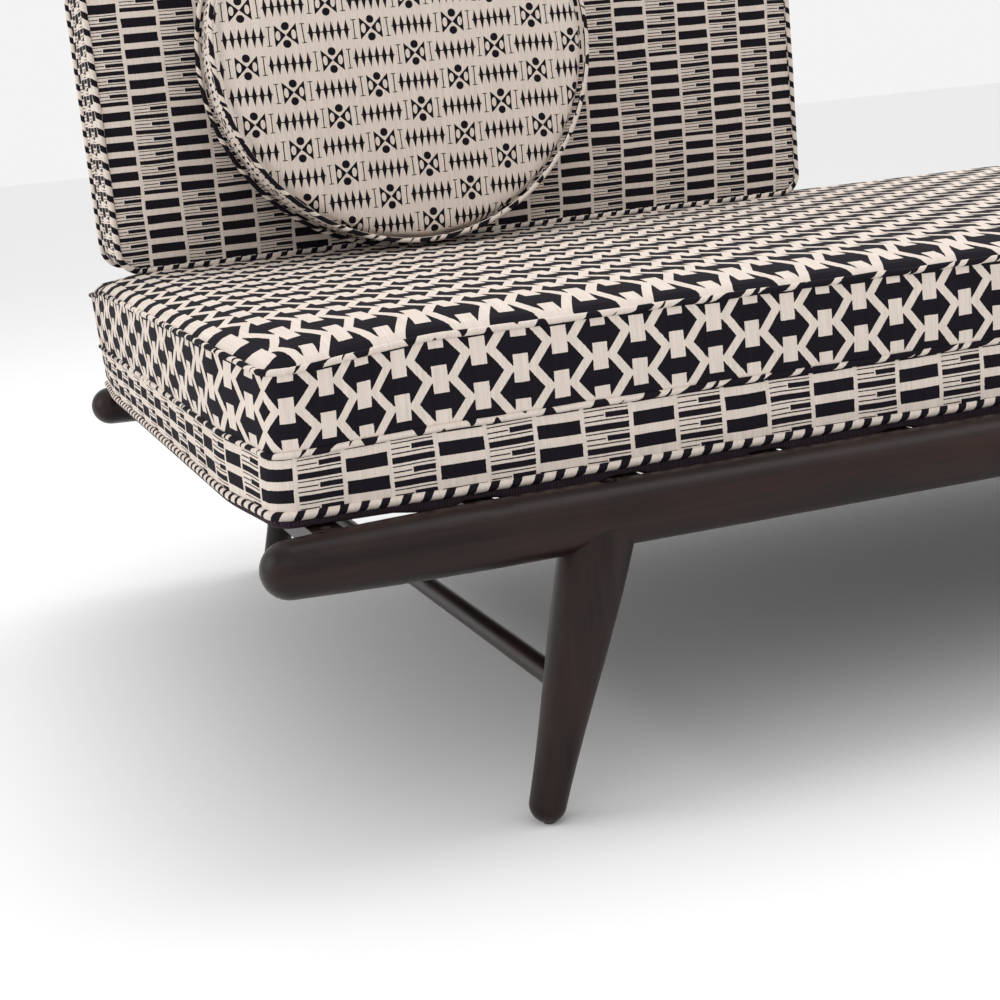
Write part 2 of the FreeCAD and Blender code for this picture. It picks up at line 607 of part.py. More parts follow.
def upholster(name, outline, seams, height, labels, roundings, where, zip_box=None):
    """Boxed cushion from its lower face up: a panel, bands between the seams, a panel.

    The foam block fills the bands; the welts are let into the panels and bands at the seams."""
    pipes = []
    for label, seam in zip(labels["welts"], seams):
        pipes.append(welt(label, outline, seam))
        node(label, pipes[-1], **where)
    lower = padded(labels["lower"] + "_whole", outline, seams[0], rounding=roundings[0], rounded_side=-1)
    node(labels["lower"], cut(labels["lower"] + "_cut", lower, pipes[:1]), **where)
    upper = padded(labels["upper"] + "_whole", outline, f"{height} - {seams[-1]}", z=seams[-1],
                   rounding=roundings[1])
    node(labels["upper"], cut(labels["upper"] + "_cut", upper, pipes[-1:]), **where)
    tall = f"{seams[-1]} - {seams[0]}"
    core = padded(f"{name}_core_block", outline, tall, z=seams[0], inset="cover_thickness")
    node(f"{name}_core", core, **where)
    for i, label in enumerate(labels["bands"]):
        # A round band stops at its welts; any other band is hollowed to let its welts in.
        stop = "welt_radius" if outline.radius else "0"
        band_height = f"{seams[i + 1]} - {seams[i]} - 2 * {stop}"
        band_foot = f"{seams[i]} + {stop}"
        outer = padded(label + "_outer", outline, band_height, z=band_foot)
        inner = padded(label + "_inner", outline, band_height, z=band_foot, inset="cover_thickness")
        tools = [] if outline.radius else pipes[i:i + 2]
        if zip_box and i == 0:
            tools.append(zip_box)
        ring = cut(label + "_ring", outer, [inner])
        node(label, cut(label + "_cut", ring, tools) if tools else ring, **where)


def make_mattress():
    outline = Outline(length=MATTRESS_LENGTH, width=MATTRESS_WIDTH, corner="mattress_corner")
    where = {"y": "(mattress_front_set - mattress_back_set) / 2", "z": MATTRESS_FOOT}
    zip_box = primitive("Box", "mattress_zip_box", Length="mattress_zip_length", Width="zip_depth",
                        Height="zip_height")
    place(zip_box, x="-mattress_zip_length / 2", y=f"{MATTRESS_WIDTH} / 2 - zip_depth",
          z="underside_depth + lower_band / 2 - zip_height / 2")
    labels = {"lower": "mattress_underside", "upper": "mattress_top",
              "bands": ["mattress_lower_band", "mattress_upper_band"],
              "welts": ["mattress_bottom_welt", "mattress_middle_welt", "mattress_top_welt"]}
    upholster("mattress", outline, ["underside_depth", MIDDLE_SEAM, TOP_SEAM],
              f"({TOP_SEAM} + mattress_crown)", labels, ("underside_round", "crown_round"), where, zip_box)
    node("mattress_zip", zip_box, **where)


def make_back_cushion():
    """Stands upright: its lower face in the making is its back."""
    outline = Outline(length="cushion_width", width="cushion_height", corner="cushion_corner")
    where = {"x": CUSHION_X, "y": CUSHION_BACK_Y + " + cushion_back_crown", "z": CUSHION_Z,
             "axis": X_AXIS, "angle": "90"}
    front_seam = "(cushion_back_crown + cushion_band)"
    zip_box = primitive("Box", "cushion_zip_box", Length="cushion_zip_length", Width="zip_depth",
                        Height="zip_height")
    place(zip_box, x="-cushion_zip_length / 2", y="-cushion_height / 2",
          z="cushion_back_crown + cushion_band / 2 - zip_height / 2")
    labels = {"lower": "back_cushion_back", "upper": "back_cushion_front",
              "bands": ["back_cushion_band"],
              "welts": ["back_cushion_back_welt", "back_cushion_front_welt"]}
    upholster("back_cushion", outline, ["cushion_back_crown", front_seam],
              f"({front_seam} + cushion_front_crown)", labels, (None, "cushion_front_round"), where, zip_box)
    node("back_cushion_zip", zip_box, **where)


def make_round_cushion():
    """Leans on the back cushion: its lower face in the making is its back."""
    outline = Outline(radius="round_radius")
    where = {"x": ROUND_X, "y": ROUND_Y, "z": ROUND_Z, "axis": X_AXIS, "angle": "90 - round_tilt"}
    front_seam = "(round_back_crown + round_band)"
    labels = {"lower": "round_cushion_back", "upper": "round_cushion_front",
              "bands": ["round_cushion_band"],
              "welts": ["round_cushion_back_welt", "round_cushion_front_welt"]}
    upholster("round_cushion", outline, ["round_back_crown", front_seam],
              f"({front_seam} + round_front_crown)", labels, (None, "round_front_round"), where)


# ---------------------------------------------------------------- the daybed


def make_frame():
    envelopes = {"front": rail_envelope("front_envelope", -1), "back": rail_envelope("back_envelope", 1)}
    rail_tools = {"front": [], "back": []}
    shared = make_slats(int(size("slat_count")))
    floor = floor_box()
    bolts = []
    inserts = []
    for left_or_right, x_side in (("left", -1), ("right", 1)):
        rod = stretcher(f"stretcher_{left_or_right}", x_side)
        node(f"stretcher_{left_or_right}", rod)
        for front_or_back, y_side in (("front", -1), ("back", 1)):
            name = f"leg_{front_or_back}_{left_or_right}"
            parts = make_leg(x_side, y_side, name, envelopes[front_or_back], rod, floor)
            bolts.append(parts[0])
            inserts.append(parts[1])
            rail_tools[front_or_back].append(parts[2])
    node("leg_bolts", group("all_leg_bolts", bolts))
    node("leg_inserts", group("all_leg_inserts", inserts))
    rail_tools["back"] += make_back(envelopes["back"])
    for label, y_side in (("front", -1), ("back", 1)):
        drilled_rail(f"rail_{label}", y_side, shared + rail_tools[label])


def check_and_export():
    """Every object up to date, every sub-part a sound solid, then one STEP file each."""
    doc.recompute()
    for thing in doc.Objects:
        if "Invalid" in thing.State or "Error" in thing.State:
            raise RuntimeError(f"{thing.Name} failed: {thing.State}")
    os.makedirs("parts", exist_ok=True)
    for part in nodes:
        shape = part.Shape
        if shape.isNull() or not shape.isValid() or not shape.Solids:
            raise RuntimeError(f"{part.Label} has no sound shape")
        if any(solid.Volume <= 0 for solid in shape.Solids):
            raise RuntimeError(f"{part.Label} has a solid with no volume")
        shape.exportStep(f"parts/{part.Label}.step")
    print(len(nodes), "sub-parts written")


make_sheet()
make_frame()
make_mattress()
make_back_cushion()
make_round_cushion()
check_and_export()
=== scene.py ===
import math

import bmesh
import bpy
from bpy.props import FloatProperty, FloatVectorProperty, IntProperty, PointerProperty
from mathutils import Matrix, Vector, noise


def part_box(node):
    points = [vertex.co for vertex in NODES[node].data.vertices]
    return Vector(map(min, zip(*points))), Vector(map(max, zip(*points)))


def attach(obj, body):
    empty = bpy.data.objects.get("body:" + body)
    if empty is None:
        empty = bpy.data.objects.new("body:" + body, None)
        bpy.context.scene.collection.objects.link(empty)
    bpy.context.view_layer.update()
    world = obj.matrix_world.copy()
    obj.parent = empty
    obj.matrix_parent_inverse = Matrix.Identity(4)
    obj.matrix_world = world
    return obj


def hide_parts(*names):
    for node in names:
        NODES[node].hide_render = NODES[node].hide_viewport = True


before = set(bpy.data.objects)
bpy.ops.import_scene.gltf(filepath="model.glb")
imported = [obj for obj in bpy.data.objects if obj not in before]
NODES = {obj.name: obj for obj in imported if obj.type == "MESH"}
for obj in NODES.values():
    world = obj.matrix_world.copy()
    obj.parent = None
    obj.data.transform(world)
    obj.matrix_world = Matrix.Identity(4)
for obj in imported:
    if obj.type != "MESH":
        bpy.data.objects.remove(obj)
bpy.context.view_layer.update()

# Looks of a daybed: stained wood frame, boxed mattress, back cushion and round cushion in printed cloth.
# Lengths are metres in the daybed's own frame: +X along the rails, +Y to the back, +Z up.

# Where the print of each mattress panel begins, and how far it is spread: underside, lower band,
# upper band and top. A band is spread along its ends and upwards, the top across and in depth.
MATTRESS_STARTS = [(0.0, 0.0), (-0.003, 0.0114), (0.0632, 0.0036), (-0.773, -0.404)]
MATTRESS_SPREADS = [(1.0, 1.0), (1.10, 1.0), (1.44, 1.0), (1.045, 2.0)]
MATTRESS_JOINT = -0.027
# The same for the front of the back cushion, as a place in the daybed's own frame.
CUSHION_START = (-0.9296, 0.507)
CUSHION_SPREAD = (1.041, 0.91)
ROUND_START = (-0.040, 0.0035)

COVER_WALL = 0.0025
BACK_SWELL = 0.004
UNDERSIDE_SWELL = 0.0005

# Name, place, width and power of each soft light.
LIGHTS = [("key", (-1.6, -2.6, 2.6), 2.2, 8.0), ("top", (0.6, 0.4, 3.0), 3.0, 48.0),
          ("side", (-3.4, 0.2, 1.4), 1.8, 18.0)]
LIT_PLACE = (-0.3, 0, 0.3)

# The spindle print, in metres from the middle of a bow-tie.
DOT_HEIGHT = 0.0094
DOT_RADIUS = 0.0044
BOW_REACH = 0.0124
LENS_MIDDLE = 0.0086
LENS_HALF = (0.0026, 0.0050)
STEM_PLACE = 0.0188
SPINDLES_BEGIN = 0.0235
SPINDLE_MIDDLE = 0.0435
SPINDLE_PITCH = 0.0081
SPINDLE_HALF = (0.0026, 0.0112)

bl_info = {
    "name": "Daybed looks",
    "version": (1, 0, 0),
    "blender": (4, 5, 0),
    "location": "View3D > Sidebar > Daybed",
    "description": "Upholstery, wood finishes and studio for a daybed",
    "category": "Object",
}


def length(name, default, description):
    """A size property in metres."""
    return FloatProperty(name=name, description=description, default=default, unit="LENGTH", precision=4)


def colour(name, default, description):
    """A colour property."""
    return FloatVectorProperty(name=name, description=description, default=default, subtype="COLOR",
                               size=3, min=0.0, max=1.0)


class UpholsterySizes(bpy.types.PropertyGroup):
    """Sizes of the soft pieces."""
    mesh_step: length("Mesh step", 0.02, "Spacing of the cloth mesh before it is subdivided")
    welt: length("Welt radius", 0.0038, "Radius of the striped welts")
    slim_welt: length("Slim welt radius", 0.0028, "Radius of the welts in lattice cloth")
    corner: length("Mattress corner", 0.020, "Mattress corner radius, from above")
    corner_pull: length("Corner pull", 0.017, "How far the front corners of the mattress are drawn in")
    corner_bulge: length("Corner bulge", 0.006, "How far the back corners stand out low down")
    crown_round: length("Crown rounding", 0.012, "Rounding of the mattress top")
    base_round: length("Underside rounding", 0.004, "Rounding under the mattress")
    band_swell: length("Band swell", 0.0045, "Furthest that a side band swells past its seams")
    top_swell: length("Top swell", 0.005, "Furthest that the mattress top swells")
    corner_drop: length("Corner drop", 0.013, "How far the mattress corners sink at the top")
    corner_lift: length("Corner lift", 0.001, "How far the mattress corners lift at the bottom")
    corner_reach: length("Corner reach", 0.16, "How far from a corner the mattress is out of true")
    cushion_corner: length("Cushion corner", 0.024, "Back cushion corner radius")
    cushion_swell: length("Cushion swell", 0.014, "Furthest that the back cushion's front swells")
    round_swell: length("Round cushion swell", 0.017, "Furthest that the round cushion's front swells")
    zip_tape: length("Zip tape", 0.016, "Width of the zip tape that shows")
    zip_pitch: length("Zip pitch", 0.0032, "Pitch of the zip's teeth")
    sag: length("Sag", 0.0065, "How far the underside sinks between the slats")
    pressure: FloatProperty(name="Pressure", description="Air pressure that swells the cloth",
                            default=4.0)
    frames: IntProperty(name="Frames", description="Length of the cloth simulation", default=20)


class PrintSizes(bpy.types.PropertyGroup):
    """Sizes of the printed patterns."""
    lattice_column: length("Lattice column", 0.0335, "Column pitch of the lozenge lattice")
    lattice_row: length("Lattice row", 0.0348, "Row pitch of the lozenge lattice")
    bar_column: length("Bar column", 0.0410, "Column pitch of the bar print")
    bar_row: length("Bar row", 0.0186, "Row pitch of the bar print")
    bar_block: IntProperty(name="Bar block", description="Bars in a column before its kind changes",
                           default=6)
    spindle_column: length("Spindle column", 0.095, "Pitch of the bow-ties along a row")
    spindle_row: length("Spindle row", 0.0308, "Row pitch of the spindle print")
    stripe: length("Welt stripe", 0.0185, "Pitch of the stripes along a welt")


class Colours(bpy.types.PropertyGroup):
    """Colours of the cloth, the wood and the studio."""
    cream: colour("Cream", (0.72, 0.63, 0.56), "Ground of the printed cloth")
    ink: colour("Ink", (0.0085, 0.0068, 0.0105), "Print on the cloth")
    twill: colour("Twill", (0.022, 0.015, 0.020), "Dark cloth under the mattress")
    wood: colour("Wood", (0.0075, 0.0036, 0.0033), "Stained wood")
    worn_wood: colour("Worn wood", (0.036, 0.0138, 0.0100), "Where the stain is thin")
    floor: colour("Floor", (0.93, 0.93, 0.93), "Studio floor")


class CameraPlace(bpy.types.PropertyGroup):
    """Where the camera stands."""
    position: FloatVectorProperty(name="Position", description="Camera position", subtype="TRANSLATION",
                                  unit="LENGTH", size=3, default=(-1.2384, -1.8114, 0.5709))
    focal: FloatProperty(name="Focal length", description="Focal length in millimetres", default=65.3)
    facing: FloatProperty(name="Facing", description="Degrees right of the daybed's +Y", default=18.31)
    dip: FloatProperty(name="Dip", description="Degrees below level", default=12.3)
    roll: FloatProperty(name="Roll", description="Degrees of roll", default=-5.64)


# ---------------------------------------------------------------- procedural materials


class Field:
    """A number that varies over a surface, built up as Math nodes."""

    def __init__(self, tree, value):
        self.tree = tree
        self.value = value

    def math(self, operation, *others):
        node = self.tree.nodes.new("ShaderNodeMath")
        node.operation = operation
        for socket, term in zip(node.inputs, (self,) + others):
            value = term.value if isinstance(term, Field) else term
            if isinstance(value, (int, float)):
                socket.default_value = value
            else:
                self.tree.links.new(value, socket)
        return Field(self.tree, node.outputs[0])

    def __add__(self, other):
        return self.math("ADD", other)

    def __sub__(self, other):
        return self.math("SUBTRACT", other)

    def __mul__(self, other):
        return self.math("MULTIPLY", other)

    def __truediv__(self, other):
        return self.math("DIVIDE", other)

    def below(self, other):
        return self.math("LESS_THAN", other)

    def above(self, other):
        return self.math("GREATER_THAN", other)

    def both(self, other):
        return self.math("MULTIPLY", other)

    def either(self, other):
        return self.math("MAXIMUM", other)

    def least(self, other):
        return self.math("MINIMUM", other)

    def flipped(self):
        return self.math("MULTIPLY", -1.0).math("ADD", 1.0)

    def size(self):
        return self.math("ABSOLUTE")

    def within(self, period):
        """Distance past the last multiple of the period."""
        return (self / period).math("FRACT") * period

    def from_nearest(self, period):
        """Distance to the nearest multiple of the period."""
        return ((self / period + 0.5).math("FRACT") - 0.5).size() * period

    def between(self, low, high):
        return self.above(low).both(self.below(high))


class Finish:
    """A material with one Principled shader, and what is needed to drive it."""

    def __init__(self, name, roughness):
        self.material = bpy.data.materials.new(name)
        self.material.use_nodes = True
        self.tree = self.material.node_tree
        self.shader = self.tree.nodes["Principled BSDF"]
        self.shader.inputs["Roughness"].default_value = roughness

    def node(self, kind, **settings):
        made = self.tree.nodes.new(kind)
        for key, value in settings.items():
            setattr(made, key, value)
        return made

    def flat_map(self):
        """The two coordinates of the piece's own cloth map, in metres."""
        source = self.node("ShaderNodeUVMap", uv_map="UVMap")
        parts = self.node("ShaderNodeSeparateXYZ")
        self.tree.links.new(source.outputs["UV"], parts.inputs[0])
        return Field(self.tree, parts.outputs[0]), Field(self.tree, parts.outputs[1])

    def vector(self, *fields):
        joined = self.node("ShaderNodeCombineXYZ")
        for socket, part in zip(joined.inputs, fields):
            value = part.value if isinstance(part, Field) else part
            if isinstance(value, (int, float)):
                socket.default_value = value
            else:
                self.tree.links.new(value, socket)
        return joined.outputs[0]

    def noise(self, where, scale, detail=2.0, roughness=0.5):
        """Noise between 0 and 1 at a vector socket."""
        texture = self.node("ShaderNodeTexNoise")
        texture.inputs["Scale"].default_value = scale
        texture.inputs["Detail"].default_value = detail
        texture.inputs["Roughness"].default_value = roughness
        self.tree.links.new(where, texture.inputs["Vector"])
        return Field(self.tree, texture.outputs["Fac"])

    def blend(self, share, low, high):
        """Colour between two, each a triple or a socket."""
        mix = self.node("ShaderNodeMix", data_type="RGBA")
        self.tree.links.new(share.value, mix.inputs["Factor"])
        for name, value in (("A", low), ("B", high)):
            socket = [s for s in mix.inputs if s.name == name and s.type == "RGBA"][0]
            if isinstance(value, bpy.types.NodeSocket):
                self.tree.links.new(value, socket)
            else:
                socket.default_value = (*value, 1.0)
        return [s for s in mix.outputs if s.type == "RGBA"][0]

    def colour(self, socket):
        self.tree.links.new(socket, self.shader.inputs["Base Color"])

    def roughness(self, field):
        self.tree.links.new(field.value, self.shader.inputs["Roughness"])

    def bump(self, height, strength, distance):
        bump = self.node("ShaderNodeBump")
        bump.inputs["Strength"].default_value = strength
        bump.inputs["Distance"].default_value = distance
        self.tree.links.new(height.value, bump.inputs["Height"])
        self.tree.links.new(bump.outputs[0], self.shader.inputs["Normal"])


def lozenges(u, v, column, row):
    """One family of dark lozenges with flat tops, and light bars standing between them."""
    across = u.from_nearest(2 * column)
    up = v.from_nearest(row)
    slope = 0.43 * row / (0.36 * column)
    edge = ((across * -1.0 + 0.575 * column) * slope).least(0.43 * row)
    lozenge = up.below(edge)
    bar = across.below(0.192 * column).both(up.above(0.19 * row))
    return lozenge.both(bar.flipped())


def lattice_print(u, v, sizes):
    column, row = sizes.lattice_column, sizes.lattice_row
    first = lozenges(u, v, column, row)
    second = lozenges(u + column, v + row / 2, column, row)
    return first.either(second)


def bar_print(u, v, sizes):
    """Columns of thick bars, and between them columns of thin bars with pinstripes."""
    column, row = sizes.bar_column, sizes.bar_row
    inside = u.within(column).above(0.0038)
    odd_column = u.within(2 * column).above(column)
    odd_block = v.within(2 * row * sizes.bar_block).above(row * sizes.bar_block)
    thick_column = (odd_column - odd_block).size()
    up = v.within(row)
    across = u.within(column)
    thick = up.below(0.6 * row)
    half = across.above(0.53 * column).both(up.between(0.53 * row, 0.76 * row))
    lines = up.below(0.27 * row).either(up.between(0.40 * row, 0.46 * row))
    lines = lines.either(up.between(0.86 * row, 0.91 * row)).either(half)
    lines = lines.either(across.below(0.5 * column).both(up.between(0.62 * row, 0.68 * row)))
    kind = thick.both(thick_column).either(lines.both(thick_column.flipped()))
    return kind.both(inside)


def spindle_print(u, v, sizes):
    """Rows of upright spindles between bow-ties with a dot above and below."""
    column, row = sizes.spindle_column, sizes.spindle_row
    odd = v.within(2 * row).above(row)
    along = (u + odd * (column / 2)).from_nearest(column)
    up = (v + row / 2).from_nearest(row)
    dots = (along * along + (up - DOT_HEIGHT) * (up - DOT_HEIGHT)).below(DOT_RADIUS ** 2)
    lens_x = (along - LENS_MIDDLE) / LENS_HALF[0]
    lens_y = up / LENS_HALF[1]
    lens = (lens_x * lens_x + lens_y * lens_y).below(1.0)
    wings = up.below(along * 0.95).both(along.below(BOW_REACH)).both(lens.flipped())
    stem = (along - STEM_PLACE).size().below(0.0006).both(up.below(0.0105))
    serif = (along - STEM_PLACE).size().below(0.0027).both(up.between(0.0096, 0.0106))
    ruled = (along - SPINDLE_MIDDLE).from_nearest(SPINDLE_PITCH)
    among = along.above(SPINDLES_BEGIN)
    spindle = (ruled / SPINDLE_HALF[0] + up / SPINDLE_HALF[1]).below(1.0).both(among)
    tick = up.below(0.0006).both(among)
    mark = dots.either(wings).either(stem).either(serif).either(spindle)
    return mark.either(tick)


def stripe_print(u, v, sizes):
    """Bias stripe round a welt."""
    return (u + v * 0.55).within(sizes.stripe).below(0.42 * sizes.stripe)


def welt_lattice(u, v, sizes):
    """Lattice cloth cut on the bias for a welt."""
    return lattice_print(u * 0.80 + v * 0.5, v * 0.9 + u * 0.47 + 0.004, sizes)


def printed_cloth(name, pattern, scene, edge=0.00045):
    """Ribbed cloth with a print of two colours whose edges are a little uneven."""
    colours = scene.daybed_colours
    finish = Finish(name, 0.9)
    finish.shader.inputs["Specular IOR Level"].default_value = 0.12
    u, v = finish.flat_map()
    slow = finish.noise(finish.vector(u, v), 22.0, 1.0)
    quick = finish.noise(finish.vector(v, u), 420.0, 1.0)
    shift = (slow - 0.5) * 0.0034 + (quick - 0.5) * edge * 2.0
    lean = finish.noise(finish.vector(v * -1.0, u, 3.0), 16.0, 1.0)
    mark = pattern(u + shift, v + (lean - 0.5) * 0.003 + (quick - 0.5) * edge, scene.daybed_prints)
    ribs = finish.noise(finish.vector(u * 900.0, v * 28.0), 1.0, 2.0)
    slubs = finish.noise(finish.vector(u * 260.0, v * 9.0), 1.0, 2.0)
    threads = ribs * 0.6 + slubs * 0.4
    cream = colours.cream
    dull = tuple(0.68 * c for c in cream)
    ground = finish.blend(threads, dull, tuple(min(1.0, 1.22 * c) for c in cream))
    deep, faded = (tuple(factor * c for c in colours.ink) for factor in (0.55, 1.7))
    ink = finish.blend(threads, deep, faded)
    finish.colour(finish.blend(mark, ground, ink))
    across = finish.noise(finish.vector(u * 120.0, v * 1400.0), 1.0, 1.0)
    finish.bump(threads * 0.8 + across * 0.35 - mark * 0.12, 0.5, 0.0007)
    return finish.material


def plain_twill(name, scene):
    """Dark herringbone twill."""
    finish = Finish(name, 0.92)
    finish.shader.inputs["Specular IOR Level"].default_value = 0.12
    u, v = finish.flat_map()
    side = u.within(0.012).above(0.006) * 2.0 - 1.0
    rib = (v + u * side).within(0.0022).below(0.0011)
    grain = finish.noise(finish.vector(u * 700.0, v * 700.0), 1.0, 2.0)
    base = scene.daybed_colours.twill
    dark, pale = (tuple(factor * c for c in base) for factor in (0.5, 2.4))
    finish.colour(finish.blend(rib * 0.6 + grain * 0.4, dark, pale))
    finish.bump(rib + grain * 0.3, 0.45, 0.0006)
    return finish.material


def stained_wood(name, along, scene):
    """Dark stained wood with its grain along one axis of the daybed."""
    colours = scene.daybed_colours
    finish = Finish(name, 0.36)
    place = finish.node("ShaderNodeTexCoord")
    grain_map = finish.node("ShaderNodeMapping")
    stretch = [58.0, 58.0, 58.0]
    stretch["XYZ".index(along)] = 2.2
    grain_map.inputs["Scale"].default_value = stretch
    finish.tree.links.new(place.outputs["Object"], grain_map.inputs["Vector"])
    grain = finish.noise(grain_map.outputs[0], 1.0, 5.0, 0.62)
    pores_map = finish.node("ShaderNodeMapping")
    fine = [900.0, 900.0, 900.0]
    fine["XYZ".index(along)] = 26.0
    pores_map.inputs["Scale"].default_value = fine
    finish.tree.links.new(place.outputs["Object"], pores_map.inputs["Vector"])
    pores = finish.noise(pores_map.outputs[0], 1.0, 2.0)
    cloud = finish.noise(place.outputs["Object"], 9.0, 2.0)
    worn = ((grain - 0.5) * 2.6 + (cloud - 0.5) * 1.1 + 0.30).math("MAXIMUM", 0.0).least(1.0)
    streaks = worn * 0.75 + (pores - 0.5) * 0.5
    finish.colour(finish.blend(streaks.math("MAXIMUM", 0.0).least(1.0), colours.wood, colours.worn_wood))
    finish.roughness(grain * 0.16 + cloud * 0.12 + pores * 0.08 + 0.20)
    finish.bump(pores * 0.6 + grain * 0.4, 0.22, 0.0005)
    finish.shader.inputs["Specular IOR Level"].default_value = 0.24
    return finish.material


def metal(name, base, roughness, spread):
    """Metal with fine turning marks."""
    finish = Finish(name, roughness)
    finish.shader.inputs["Metallic"].default_value = 1.0
    place = finish.node("ShaderNodeTexCoord")
    marks = finish.noise(place.outputs["Object"], 900.0, 3.0)
    finish.colour(finish.blend(marks, tuple(0.75 * c for c in base), base))
    finish.roughness(marks * spread + (roughness - spread / 2))
    finish.bump(marks, 0.1, 0.0002)
    return finish.material


def moulded(name, base, roughness):
    """Moulded plastic with a fine texture."""
    finish = Finish(name, roughness)
    place = finish.node("ShaderNodeTexCoord")
    grain = finish.noise(place.outputs["Object"], 1500.0, 2.0)
    finish.colour(finish.blend(grain, tuple(0.7 * c for c in base), tuple(1.3 * c for c in base)))
    finish.bump(grain, 0.15, 0.0002)
    return finish.material


# ---------------------------------------------------------------- upholstery shapes


class Outline:
    """Rectangle with round corners about the middle; a circle if the corners take up all of it."""

    def __init__(self, half_x, half_y, corner):
        self.half_x = half_x
        self.half_y = half_y
        self.corner = corner
        self.flat_x = half_x - corner
        self.flat_y = half_y - corner
        self.quarter = corner * math.pi / 2
        self.girth = 4 * (self.flat_x + self.flat_y + self.quarter)

    def depth(self, x, y):
        """Distance in from the outline."""
        over_x = abs(x) - self.flat_x
        over_y = abs(y) - self.flat_y
        outside = math.hypot(max(over_x, 0), max(over_y, 0))
        return self.corner - outside - min(max(over_x, over_y), 0)

    def along(self, x, y):
        """Distance round the outline, from the front side's left end, front side first."""
        if y <= -self.flat_y and abs(x) <= self.flat_x:
            return x + self.flat_x
        start = 2 * self.flat_x
        turn = math.atan2(y + self.flat_y, x - self.flat_x)
        if y < -self.flat_y and x > 0:
            return start + (turn + math.pi / 2) * self.corner
        start += self.quarter
        if abs(y) <= self.flat_y and x > 0:
            return start + y + self.flat_y
        start += 2 * self.flat_y
        if x > self.flat_x:
            return start + math.atan2(y - self.flat_y, x - self.flat_x) * self.corner
        start += self.quarter
        if y > 0 and abs(x) <= self.flat_x:
            return start + self.flat_x - x
        start += 2 * self.flat_x
        if y > self.flat_y:
            return start + (math.atan2(y - self.flat_y, x + self.flat_x) - math.pi / 2) * self.corner
        start += self.quarter
        if abs(y) <= self.flat_y:
            return start + self.flat_y - y
        start += 2 * self.flat_y
        turn = math.atan2(-(y + self.flat_y), -(x + self.flat_x))
        return start + turn * self.corner

    def on_ends(self, distance):
        """How much of a distance round the outline runs along its two ends."""
        right = 2 * self.flat_x + self.quarter
        left = right + 2 * self.flat_x + 2 * self.flat_y + 2 * self.quarter
        return sum(min(max(distance - start, 0.0), 2 * self.flat_y) for start in (right, left))

    def points(self, step):
        """Points round the outline, evenly spaced."""
        count = round(self.girth / step)
        return [self.point(self.girth * i / count) for i in range(count)]

    def point(self, distance):
        corners = [(self.flat_x, -self.flat_y, -90), (self.flat_x, self.flat_y, 0),
                   (-self.flat_x, self.flat_y, 90), (-self.flat_x, -self.flat_y, 180)]
        sides = [2 * self.flat_x, 2 * self.flat_y, 2 * self.flat_x, 2 * self.flat_y]
        for (centre_x, centre_y, first), side in zip(corners, sides):
            facing = math.radians(first)
            if distance <= side:
                back = side - distance
                ahead = facing + math.pi / 2
                return (centre_x + self.corner * math.cos(facing) - back * math.cos(ahead),
                        centre_y + self.corner * math.sin(facing) - back * math.sin(ahead))
            distance -= side
            if distance <= self.quarter:
                facing += distance / self.corner
                return centre_x + self.corner * math.cos(facing), centre_y + self.corner * math.sin(facing)
            distance -= self.quarter
        return -self.flat_x, -self.half_y


def ladder(low, high, step):
    """Even cuts between two values, both left out."""
    count = max(1, round((high - low) / step))
    return [low + (high - low) * i / count for i in range(1, count)]


def slice_mesh(bm, axis, places):
    """Cut the whole mesh across an axis at each place."""
    normal = Vector((0, 0, 0))
    normal[axis] = 1
    for place in places:
        bmesh.ops.bisect_plane(bm, geom=bm.verts[:] + bm.edges[:] + bm.faces[:], dist=1e-5,
                               plane_co=normal * place, plane_no=normal)


